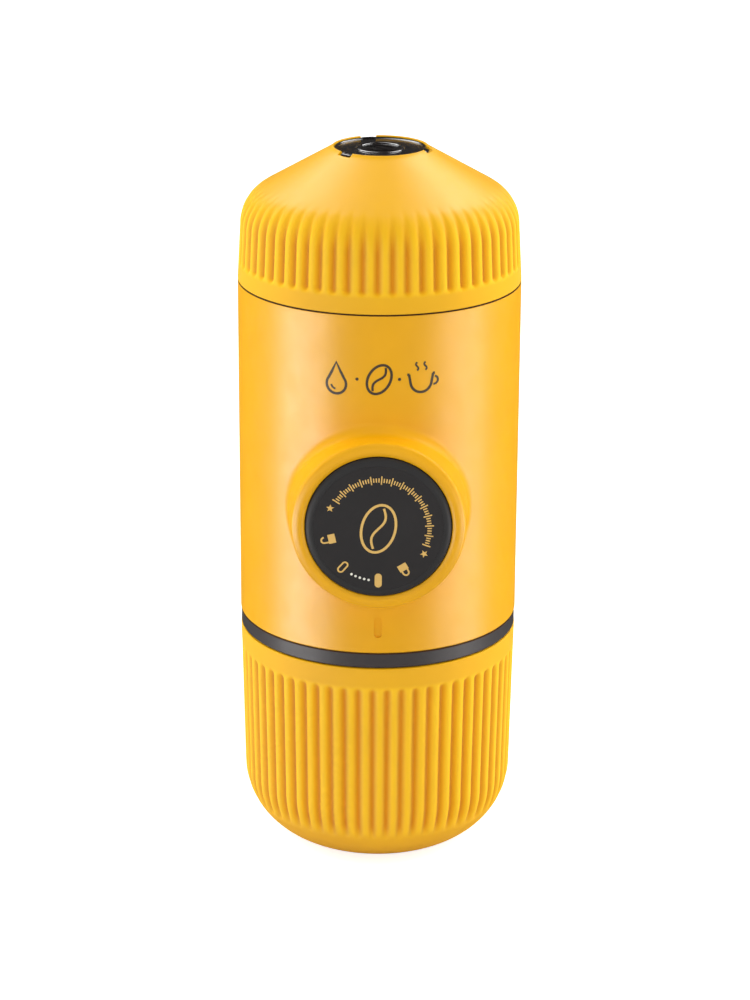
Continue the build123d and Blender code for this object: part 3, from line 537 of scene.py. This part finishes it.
def cup_mesh():
    """Surface of the cup, with the seat and the notches for its foot pad."""
    inside, outside = cup_inside(), cup_outside()
    rim = np.vstack([
        arc((PAD_SEAT + 0.25, TOP_RIM[1] + 0.02), 0.25, 20, 180, RIM_ROWS),
        run((PAD_SEAT, TOP_RIM[1]), (PAD_SEAT, PAD_BOTTOM), 4),
        run((PAD_SEAT, PAD_BOTTOM), (POLE, PAD_BOTTOM), 3),
        [(POLE, PAD_BOTTOM)],
    ])
    outline = np.vstack([inside, outside, rim])
    distance = along(outline)
    start, rim_row = len(inside), len(inside) + len(outside)
    s = (distance - distance[start])[:, None]
    across = from_flute(COLUMNS, CUP_FLUTE_PHASE)[None, :] * outline[:, 0][:, None]
    fade = 1 - smooth((s - CUP_FADE_START) / CUP_FADE)
    depth = CUP_FLUTE_DEPTH * fade
    half = pi * outline[:, 0][:, None] / FLUTES
    low = CUP_FLUTE_LOW + pi * OUTER / FLUTES
    sunk = groove(across, low - s, depth, half)
    sunk[:start] = 0
    sunk[rim_row - CONE_ROWS:] = 0
    radii, heights = with_flutes(outline, sunk)
    cut_notches(radii, heights, rim_row)
    fluted = smooth((s - CUP_FLUTE_LOW) / 1.2) * fade
    return radii, heights, groove_shade_share(sunk, CUP_FLUTE_DEPTH, fluted), fade


def notch_reach(across):
    """How far a notch reaches past the pad's seat, with round corners, at a distance from its middle."""
    share = np.clip(np.abs(across) / (NOTCH_WIDTH / 2), 0, 1)
    return NOTCH_REACH * (1 - share**3) ** (1 / 3)


def cut_notches(radii, heights, rim_row):
    """Lower the rim where the pad's three tabs lie; rim_row is the first row of the rim."""
    angle = 360 * np.arange(COLUMNS) / COLUMNS - 90
    half = degrees(asin(NOTCH_WIDTH / 2 / PAD_SEAT))
    for middle in NOTCHES:
        off = (angle - middle + 180) % 360 - 180
        here = np.abs(off) < half
        reach = PAD_SEAT + notch_reach(PAD_SEAT * np.radians(off[here]))
        for row in range(rim_row - CONE_ROWS, rim_row):
            short = np.maximum(reach - radii[row, here], 0)
            heights[row, here] -= short * tan(radians(CONE))
            radii[row, here] += short
        top = heights[rim_row - 1, here]
        for step, row in enumerate(range(rim_row, rim_row + RIM_ROWS)):
            radii[row, here] = reach
            heights[row, here] = top + (NOTCH_FLOOR - top) * (step + 1) / RIM_ROWS
        for row, share in zip(range(rim_row + RIM_ROWS, rim_row + RIM_ROWS + 3), (0.7, 0.3, 0.0)):
            radii[row, here] = PAD_SEAT + share * (reach - PAD_SEAT)
            heights[row, here] = NOTCH_FLOOR


fluted_piece("cup", cup_mesh(), "cup", "cup")


# ================================================================ piston
DIAL_FACE = PISTON_FRONT - 0.05
DIAL_RADIUS = 13.6
DIAL_THICKNESS = 0.85
DIAL_GAP = 0.02
CAP_RADIUS = 15.25
CAP_BACK = 34.9
CAP_BEVEL = 1.1
LIP_GAP = 0.15
BOSS_FACE = 36.4
SKIRT = 15.0
SKIRT_INSIDE = 13.3
SKIRT_REAR = 6.5
HUB = 7.0
HUB_REAR = 28.9
ROD_BORE = 4.05
FLANGE_BORE = 5.65
FLANGE_SEAT = 35.48
LUG_HALF = 6.0  # degrees
LUG_LENGTH = 3.0
LUG_INSIDE = SKIRT - 1.7
LUG_OUTSIDE = SKIRT + 1.3
LUG_POINTS = 7


def facing_front(points):
    """Turn points from the Z axis to the piston's axis: Z becomes -Y, at the pump's height."""
    x, y, z = np.asarray(points, float).T
    return np.stack([x, -z, y + PUMP_Z], -1)


def lug_mesh(middle, first):
    """One lug of the bayonet on the skirt, as a block; first is the number of its first point."""
    angle = np.radians(np.linspace(middle - LUG_HALF, middle + LUG_HALF, LUG_POINTS))
    points, faces = [], []
    for height in (SKIRT_REAR, SKIRT_REAR + LUG_LENGTH):
        for radius in (LUG_INSIDE, LUG_OUTSIDE):
            points += [(radius * cos(a), radius * sin(a), height) for a in angle]
    low_in, low_out, high_in, high_out = (first + LUG_POINTS * i for i in range(4))
    for i in range(LUG_POINTS - 1):
        j = i + 1
        faces.append([low_in + i, low_in + j, low_out + j, low_out + i])
        faces.append([high_in + i, high_out + i, high_out + j, high_in + j])
        faces.append([low_out + i, low_out + j, high_out + j, high_out + i])
        faces.append([low_in + j, low_in + i, high_in + i, high_in + j])
    for i, flip in ((0, 1), (LUG_POINTS - 1, -1)):
        faces.append([low_in + i, low_out + i, high_out + i, high_in + i][::flip])
    return points, faces


def piston_meshes():
    """The button with its skirt, hub and lugs, and the dial in its face."""
    bevel = [
        (
            DIAL_RADIUS + DIAL_GAP + (CAP_RADIUS - DIAL_RADIUS - DIAL_GAP) * sin(a),
            DIAL_FACE - CAP_BEVEL * (1 - cos(a)),
        )
        for a in np.radians(np.linspace(0, 90, 14))
    ]
    pocket = DIAL_FACE - DIAL_THICKNESS
    cap = bevel + [
        (CAP_RADIUS, CAP_BACK), (SKIRT, CAP_BACK), (SKIRT, SKIRT_REAR), (SKIRT_INSIDE, SKIRT_REAR),
        (SKIRT_INSIDE, CAP_BACK), (HUB, CAP_BACK), (HUB, HUB_REAR), (ROD_BORE, HUB_REAR),
        (ROD_BORE, FLANGE_SEAT), (FLANGE_BORE, FLANGE_SEAT), (FLANGE_BORE, pocket),
        (DIAL_RADIUS + DIAL_GAP, pocket),
    ]
    points, faces = ring_mesh(cap[::-1], ROUND)
    points = points.tolist()
    for side in (0, 180):
        lug_points, lug_faces = lug_mesh(side, len(points))
        points += lug_points
        faces += lug_faces
    pole, rear = 0.6, pocket + DIAL_GAP
    dial = [(pole, DIAL_FACE), (DIAL_RADIUS, DIAL_FACE), (DIAL_RADIUS, rear), (pole, rear)]
    return (facing_front(points), faces), turned_profile(dial, ROUND)


def lip_outline():
    """Raised lip in the boss's face: it slopes up from the piston, turns over and meets the boss's edge."""
    def at(radius, rise):
        return radius, BOSS_FACE + rise

    inner = CAP_RADIUS + LIP_GAP
    slope = run(at(inner + 0.1, -0.02), at(16.0, 0.2), 6)
    crest = bezier(at(16.0, 0.2), at(16.45, 0.37), at(16.95, 0.2), 8)
    fall = bezier(at(16.95, 0.2), at(17.6, -0.02), at(17.98, -0.46), 8)
    return np.vstack([[at(inner, -0.15)], slope, crest, fall, [at(17.7, -1.3), at(inner, -1.3)]])


lip_points, lip_faces = ring_mesh(lip_outline(), ROUND)
(cap_points, cap_faces), (dial_points, dial_faces) = piston_meshes()
make_piece("boss_lip", facing_front(lip_points), lip_faces, yellow, "body", "yellow_plastic")
make_piece("piston_button", cap_points, cap_faces, piston_black, "piston", "piston_plastic", ["piston_cap"])
make_piece(
    "dial", facing_front(dial_points), dial_faces, dial_black, "piston", "dial_plastic", ["dial_plate"]
)


# ================================================================ print
PRINT_DEPTH = 0.04
DIAL_SCALE = 0.955  # of all the marks' distances from the dial's middle


def on_dial(x, y, lift):
    """Point of the dial's face, x to the right and y up from its middle, lift mm proud."""
    return (x, -(DIAL_FACE + lift), PUMP_Z + y)


def on_shell(x, y, lift):
    """Point of the shell's front, x round it to the right and y its height."""
    angle = x / OUTER
    return ((OUTER + lift) * sin(angle), -(OUTER + lift) * cos(angle), y)


class Print:
    """Flat marks, each a thin closed body on a surface."""

    def __init__(self, place, depth=PRINT_DEPTH):
        self.place, self.depth = place, depth
        self.points, self.faces = [], []

    def area(self, outline):
        """A filled mark inside an outline that runs anticlockwise."""
        first, n = len(self.points), len(outline)
        for lift in (self.depth, -self.depth):
            self.points += [self.place(x, y, lift) for x, y in outline]
        self.faces.append(list(range(first, first + n)))
        self.faces.append(list(range(first + n, first + 2 * n))[::-1])
        for i in range(n):
            j = (i + 1) % n
            self.faces.append([first + i, first + n + i, first + n + j, first + j])

    def line(self, path, width, closed=False):
        """A stroke of this width along a path."""
        path = np.asarray(path, float)
        if closed:
            step = np.roll(path, -1, axis=0) - np.roll(path, 1, axis=0)
        else:
            step = np.gradient(path, axis=0)
        side = np.stack([-step[:, 1], step[:, 0]], -1)
        side *= width / 2 / np.linalg.norm(side, axis=1)[:, None]
        first, n = len(self.points), len(path)
        for edge, lift in ((1, self.depth), (-1, self.depth), (-1, -self.depth), (1, -self.depth)):
            self.points += [self.place(x, y, lift) for x, y in path + edge * side]
        for i in range(n if closed else n - 1):
            j = (i + 1) % n
            for a in range(4):
                here, there = first + a * n, first + (a + 1) % 4 * n
                self.faces.append([here + i, there + i, there + j, here + j])
        if not closed:
            self.faces.append([first + a * n for a in (3, 2, 1, 0)])
            self.faces.append([first + a * n + n - 1 for a in range(4)])

    def piece(self, name, material, body, slot):
        """Make all the marks into one piece."""
        make_piece(name, self.points, self.faces, material, body, slot)


def oval(x, y, wide, tall, first=0, last=360, count=40):
    """Points on an ellipse round (x, y), from one angle to the other."""
    whole = last - first == 360
    angles = np.radians(np.linspace(first, last, count + whole)[: count])
    return np.stack([x + wide * np.cos(angles), y + tall * np.sin(angles)], -1)


def moved(path, x, y, turn):
    """A path turned by some degrees about the origin and then moved to (x, y)."""
    a = radians(turn)
    return np.asarray(path, float) @ np.array([[cos(a), sin(a)], [-sin(a), cos(a)]]) + (x, y)


def round_place(radius, angle):
    """Place on the dial and the turn that points a mark's top away from the middle."""
    radius *= DIAL_SCALE
    return radius * cos(radians(angle)), radius * sin(radians(angle)), angle - 90


def pill(wide, tall):
    """Outline of an upright pill round the origin."""
    rise, bend = (tall - wide) / 2, wide / 2
    top = oval(0, rise, bend, bend, 0, 180, 14)
    return np.vstack([top, oval(0, -rise, bend, bend, 180, 360, 15)[:-1]])


def star(reach):
    """Outline of a five-pointed star round the origin."""
    angles = np.radians(90 + 36 * np.arange(10))
    radii = np.where(np.arange(10) % 2, 0.45, 1.0) * reach
    return np.stack([radii * np.cos(angles), radii * np.sin(angles)], -1)


def padlock(is_open):
    """Strokes and areas of a padlock about 2.8 mm tall round the origin."""
    body = [(-1.0, -1.4), (1.0, -1.4), (1.0, 0.1), (-1.0, 0.1)]
    lift = 0.35 if is_open else 0.0
    shackle = np.vstack([[(-0.62, 0.1)], oval(0, 0.55 + lift, 0.62, 0.68, 180, 0, 14)])
    tail = [] if is_open else [[(0.62, 0.1)]]
    return body, np.vstack([shackle] + tail)


def bean(wide, tall):
    """Outline of a coffee bean round the origin, and the wavy line along it."""
    rise = np.linspace(-0.86, 0.86, 24) * tall
    crease = np.stack([0.26 * wide * np.sin(pi * rise / (0.86 * tall)), rise], -1)
    return oval(0, 0, wide, tall), crease


def dial_print():
    """A ring of ticks between two stars, the lock's scale under it, and a coffee bean at the middle."""
    gold, white = Print(on_dial), Print(on_dial)
    for count, angle in enumerate(np.linspace(146, -20, 57)):
        half = 0.45 if count % 4 else 0.9
        gold.line(moved([(0, -half), (0, half)], *round_place(11.1, angle)), 0.26)
    for angle in (156, -30):
        gold.area(moved(star(0.85), *round_place(11.5, angle)))
    for angle, is_open in ((193, True), (301, False)):
        body, shackle = padlock(is_open)
        place = round_place(11.1, angle)
        gold.area(moved(body, *place))
        gold.line(moved(shackle, *place), 0.36)
    gold.line(moved(pill(1.15, 2.5), *round_place(11.8, 229)), 0.34, closed=True)
    gold.area(moved(pill(1.5, 3.1), *round_place(12.0, 270)))
    for angle in np.linspace(241, 260, 5):
        white.area(moved(oval(0, 0, 0.27, 0.27, count=16), *round_place(12.05, angle)))
    rim, crease = bean(3.5, 5.3)
    gold.line(moved(rim, 0, 0, -14), 0.55, closed=True)
    gold.line(moved(crease, 0, 0, -14), 0.5)
    gold.piece("dial_marks", gold_print, "piston", "dial_plastic")
    white.piece("dial_dots", white_print, "piston", "dial_plastic")


def shell_print():
    """A row of plain pictures: a drop of water, a coffee bean and a cup with steam."""
    marks = Print(on_shell)
    height, drop_x, bean_x, cup_x = 113.6, -9.0, 0, 8.8
    drop = np.vstack([oval(0, -1.3, 2.1, 2.1, -215, 35, 30), [(0.95, 1.35), (0.0, 3.4), (-0.95, 1.35)]])
    marks.line(moved(drop, drop_x, height, 0), 0.55, closed=True)
    marks.line(moved(oval(0, -1.3, 1.1, 1.1, 190, 260, 10), drop_x, height, 0), 0.4)
    rim, crease = bean(2.3, 3.3)
    marks.line(moved(rim, bean_x, height, -28), 0.55, closed=True)
    marks.line(moved(crease, bean_x, height, -28), 0.5)
    cup = np.vstack([[(-2.6, 0.9)], oval(0, -0.6, 2.3, 2.4, 190, 350, 20), [(2.6, 0.9)]])
    marks.line(moved(cup, cup_x, height, 0), 0.55)
    marks.line(moved([(-3.0, 0.9), (3.0, 0.9)], cup_x, height, 0), 0.55)
    marks.line(moved(oval(2.7, -0.6, 1.0, 0.9, 70, -90, 14), cup_x, height, 0), 0.45)
    rise = np.linspace(1.7, 3.5, 12)
    for x in (-0.9, 0.9):
        steam = np.stack([x + 0.28 * np.sin(2 * pi * (rise - 1.7) / 1.8), rise], -1)
        marks.line(moved(steam, cup_x, height, 0), 0.4)
    for x in (-4.6, 4.2):
        marks.area(moved(oval(0, 0, 0.34, 0.34, count=18), x, height, 0))
    marks.piece("shell_marks", grey_print, "body", "yellow_plastic")


dial_print()
shell_print()


# ================================================================ cup's foot pad
PAD_TOP = 155.4
PAD_RADIUS = 9.72
DISH_RADIUS = 9.1  # where the flat dish turns up into its edge
RING_RADIUS = 4.7
TAB_ROOT = 9.3
TAB_GAP = 0.05  # between a tab and its notch, at either side
TAB_ACROSS, TAB_OUT = 17, 9  # points of a tab's grid
PAD_POLE = 1.0


def pad_mesh():
    """A shallow dish with a raised ring, and three tabs that fill the notches in the cup's rim."""
    bead = [(RING_RADIUS + 0.5 * t, PAD_TOP + 0.25 * (1 - t * t) ** 0.75) for t in np.linspace(-1, 1, 13)]
    lip = arc((DISH_RADIUS, PAD_TOP + 0.6), 0.6, 270, 330, 8)
    floor = PAD_BOTTOM + 0.01
    profile = np.vstack([
        run((PAD_POLE, PAD_TOP), (RING_RADIUS - 0.55, PAD_TOP), 4),
        bead,
        run((RING_RADIUS + 0.6, PAD_TOP), (DISH_RADIUS, PAD_TOP), 6),
        lip,
        bezier((9.62, PAD_TOP + 0.3), (PAD_RADIUS, PAD_TOP + 0.3), (PAD_RADIUS, PAD_TOP + 0.15), 5),
        [(PAD_RADIUS, PAD_TOP + 0.1), (PAD_RADIUS, floor), (PAD_POLE, floor)],
    ])
    points, faces = turned_profile(profile, 180)
    points = points.tolist()
    for middle in NOTCHES:
        add_tab(points, faces, radians(middle))
    return points, faces


def add_tab(points, faces, middle):
    """One tab, as grids for its top and its underside that meet along its edge."""
    across = np.linspace(-1, 1, TAB_ACROSS) * (NOTCH_WIDTH / 2 - TAB_GAP)
    first = len(points)
    for top in (True, False):
        for t in across:
            end = PAD_SEAT - 0.04 + notch_reach(t * NOTCH_WIDTH / (NOTCH_WIDTH - 2 * TAB_GAP))
            for share in np.linspace(0, 1, TAB_OUT):
                radius = TAB_ROOT + (end - TAB_ROOT) * share
                cone = TOP_RIM[1] + 0.02 - (radius - TOP_RIM[0]) * tan(radians(CONE))
                round_off = 0.28 * max(share**6, abs(t / across[-1]) ** 8)
                height = min(TOP_RIM[1] - 0.03, cone) - round_off if top else NOTCH_FLOOR + 0.02
                x, y = radius * cos(middle) - t * sin(middle), radius * sin(middle) + t * cos(middle)
                points.append((x, y, height))
    under = TAB_ACROSS * TAB_OUT
    last = under - TAB_OUT
    for i in range(TAB_ACROSS - 1):
        for j in range(TAB_OUT - 1):
            a = first + i * TAB_OUT + j
            b = a + TAB_OUT
            faces.append([a, a + 1, b + 1, b])
            faces.append([a + under, b + under, b + under + 1, a + under + 1])
    edge = [i * TAB_OUT for i in range(TAB_ACROSS)] + [last + j for j in range(1, TAB_OUT)]
    edge += [i * TAB_OUT + TAB_OUT - 1 for i in range(TAB_ACROSS - 2, -1, -1)]
    edge += list(range(TAB_OUT - 2, 0, -1))
    for a, b in zip(edge, edge[1:] + edge[:1]):
        faces.append([first + a, first + b, first + b + under, first + a + under])


def on_pad(x, y, lift):
    """Point of the pad's top, y towards the back."""
    return (x, y, PAD_TOP + lift)


def pad_relief():
    """A coffee bean inside the pad's ring."""
    relief = Print(on_pad, depth=0.16)
    rim, crease = bean(2.2, 3.3)
    relief.line(moved(rim, 0, 0, 60), 0.4, closed=True)
    relief.line(moved(crease, 0, 0, 60), 0.36)
    relief.piece("pad_relief", pad_black, "cup", "black_pad_rubber")


make_piece("pad", *pad_mesh(), pad_black, "cup", "black_pad_rubber", ["cup_foot_pad"])
pad_relief()


# ================================================================ seams' painted shadow and the index mark's painted shade
SEAM_THICKNESS = 0.3
INDEX_HEIGHT = SHELL_BOTTOM + 6.0  # of the mark's middle
INDEX_DEPTH = 0.35


def seam(name, radius, low, high):
    """A dark ring round the body at a joint: painted shadow of the gap between two parts."""
    inner = radius - SEAM_THICKNESS
    outline = [(inner, low), (radius, low), (radius, high), (inner, high)]
    make_piece(name, *ring_mesh(outline, COLUMNS), shadow_black, "body", "dark_band_plastic")


def index_shade():
    """The darker floor of the index mark's groove, under the piston: painted shade on a thin sheet."""
    floor = Print(lambda x, y, lift: (x, -(OUTER - INDEX_DEPTH + lift), y), depth=0.03)
    floor.area(moved(pill(1.5, 4.6), 0, INDEX_HEIGHT, 0))
    floor.piece("index_shade", recess_shade_yellow, "body", "yellow_plastic")


seam("shell_seam_shadow", OUTER - 0.13, SHELL_BOTTOM - 0.27, SHELL_BOTTOM - 0.02)
seam("cup_seam_shadow", OUTER - 0.07, SHELL_TOP - 0.25, SHELL_TOP + 0.03)
index_shade()


# ================================================================ valve springs
def soft_spring(name, node, body):
    """A valve's spring on a mesh of its own, riding with its body in place of the CAD node."""
    piece = bpy.data.objects.new(name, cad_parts[node].data.copy())
    bpy.context.scene.collection.objects.link(piece)
    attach(piece, body)
    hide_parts(node)
    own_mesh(piece)


soft_spring("inlet_spring", "inlet_valve_spring", "body")
soft_spring("outlet_spring", "outlet_valve_spring", "body")
soft_spring("crema_coil", "crema_spring", "portafilter")


# ================================================================ floor, light and camera
FLOOR_HALF = 3.0  # m
FLOOR_GLOW = 0.74  # what the camera sees of the floor besides its lit colour, so that it is white


def stage_floor():
    """A white floor, invisible in reflections, with a faint contact shadow."""
    mesh = bpy.data.meshes.new("floor")
    a = FLOOR_HALF
    mesh.from_pydata([(-a, -a, 0), (a, -a, 0), (a, a, 0), (-a, a, 0)], [], [(0, 1, 2, 3)])
    floor = bpy.data.objects.new("floor", mesh)
    bpy.context.scene.collection.objects.link(floor)
    made = Material("floor_white", (0.75, 0.75, 0.75, 1), 0.9)
    seen = made.node("ShaderNodeLightPath")
    glow = made.node("ShaderNodeEmission")
    glow.inputs["Color"].default_value = WHITE
    glow.inputs["Strength"].default_value = FLOOR_GLOW
    both = made.node("ShaderNodeAddShader")
    made.link(made.shader.outputs[0], both.inputs[0])
    made.link(glow.outputs[0], both.inputs[1])
    mix = made.node("ShaderNodeMixShader")
    made.link(seen.outputs["Is Camera Ray"], mix.inputs[0])
    made.link(made.shader.outputs[0], mix.inputs[1])
    made.link(both.outputs[0], mix.inputs[2])
    made.link(mix.outputs[0], made.tree.nodes["Material Output"].inputs["Surface"])
    mesh.materials.append(made.material)
    floor.visible_glossy = False
    floor.visible_shadow = False


def softbox(name, azimuth, elevation, distance, width, height, radiance, seen_in):
    """Area lamp that faces the object, sizes in m, at an azimuth from the front (to the right is +).

    seen_in is "gloss" for a box that makes the highlights and "colour" for one that lights the colours.
    """
    lamp = bpy.data.lights.new(name, "AREA")
    lamp.shape = "RECTANGLE"
    lamp.size, lamp.size_y = width, height
    lamp.energy = radiance * 4 * pi * width * height
    target = Vector((0, 0, 0.08))
    place = Vector((
        sin(radians(azimuth)) * cos(radians(elevation)),
        -cos(radians(azimuth)) * cos(radians(elevation)),
        sin(radians(elevation)),
    )) * distance + target
    holder = bpy.data.objects.new(name, lamp)
    holder.location = place
    holder.rotation_euler = (place - target).to_track_quat("Z", "Y").to_euler()
    bpy.context.scene.collection.objects.link(holder)
    holder.visible_camera = False
    holder.visible_diffuse = seen_in == "colour"
    holder.visible_glossy = seen_in == "gloss"


def white_world(strength, in_gloss):
    """White behind the object, ambient light of this strength, and a dim room in its reflections."""
    world = bpy.data.worlds.new("studio")
    bpy.context.scene.world = world
    world.use_nodes = True
    tree = world.node_tree

    def shine(node, level):
        node.inputs["Color"].default_value = WHITE
        node.inputs["Strength"].default_value = level
        return node

    mixed = shine(tree.nodes["Background"], strength)
    seen = tree.nodes.new("ShaderNodeLightPath")
    for seen_by, level in (("Is Glossy Ray", in_gloss), ("Is Camera Ray", 1.0)):
        other = shine(tree.nodes.new("ShaderNodeBackground"), level)
        mix = tree.nodes.new("ShaderNodeMixShader")
        tree.links.new(seen.outputs[seen_by], mix.inputs[0])
        tree.links.new(mixed.outputs[0], mix.inputs[1])
        tree.links.new(other.outputs[0], mix.inputs[2])
        mixed = mix
    tree.links.new(mixed.outputs[0], tree.nodes["World Output"].inputs["Surface"])
    world.cycles.sampling_method = "NONE"


stage_floor()
white_world(0.52, 0.03)
softbox("gloss_left", -64, -17, 0.9, 0.66, 0.36, 5.0, "gloss")
softbox("gloss_right", 70, -17, 0.9, 0.66, 0.36, 2.7, "gloss")
softbox("gloss_back_left", -152, 50, 0.9, 0.45, 0.45, 1.7, "gloss")
softbox("gloss_back_right", 140, 50, 0.9, 0.32, 0.45, 2.4, "gloss")
softbox("side_left", -112, 15, 0.9, 0.4, 1.0, 1.6, "colour")
softbox("side_right", 108, 15, 0.9, 0.4, 1.0, 1.6, "colour")
softbox("top", 0, 70, 0.9, 0.8, 0.6, 0.3, "colour")
softbox("front", 0, 10, 1.1, 1.0, 0.8, 0.3, "colour")

# the photo's camera, fitted to the rims and outlines in it
camera = bpy.data.cameras.new("camera")
camera.lens = 108.4
holder = bpy.data.objects.new("camera", camera)
bpy.context.scene.collection.objects.link(holder)
holder.matrix_world = (
    Matrix.Translation((-0.00075, -0.62465, 0.29561))
    @ Matrix.Rotation(radians(90 - 19.318), 4, "X")
    @ Matrix.Rotation(0.0049, 4, "Z")
)
bpy.context.scene.camera = holder
bpy.context.scene.view_settings.view_transform = "Standard"
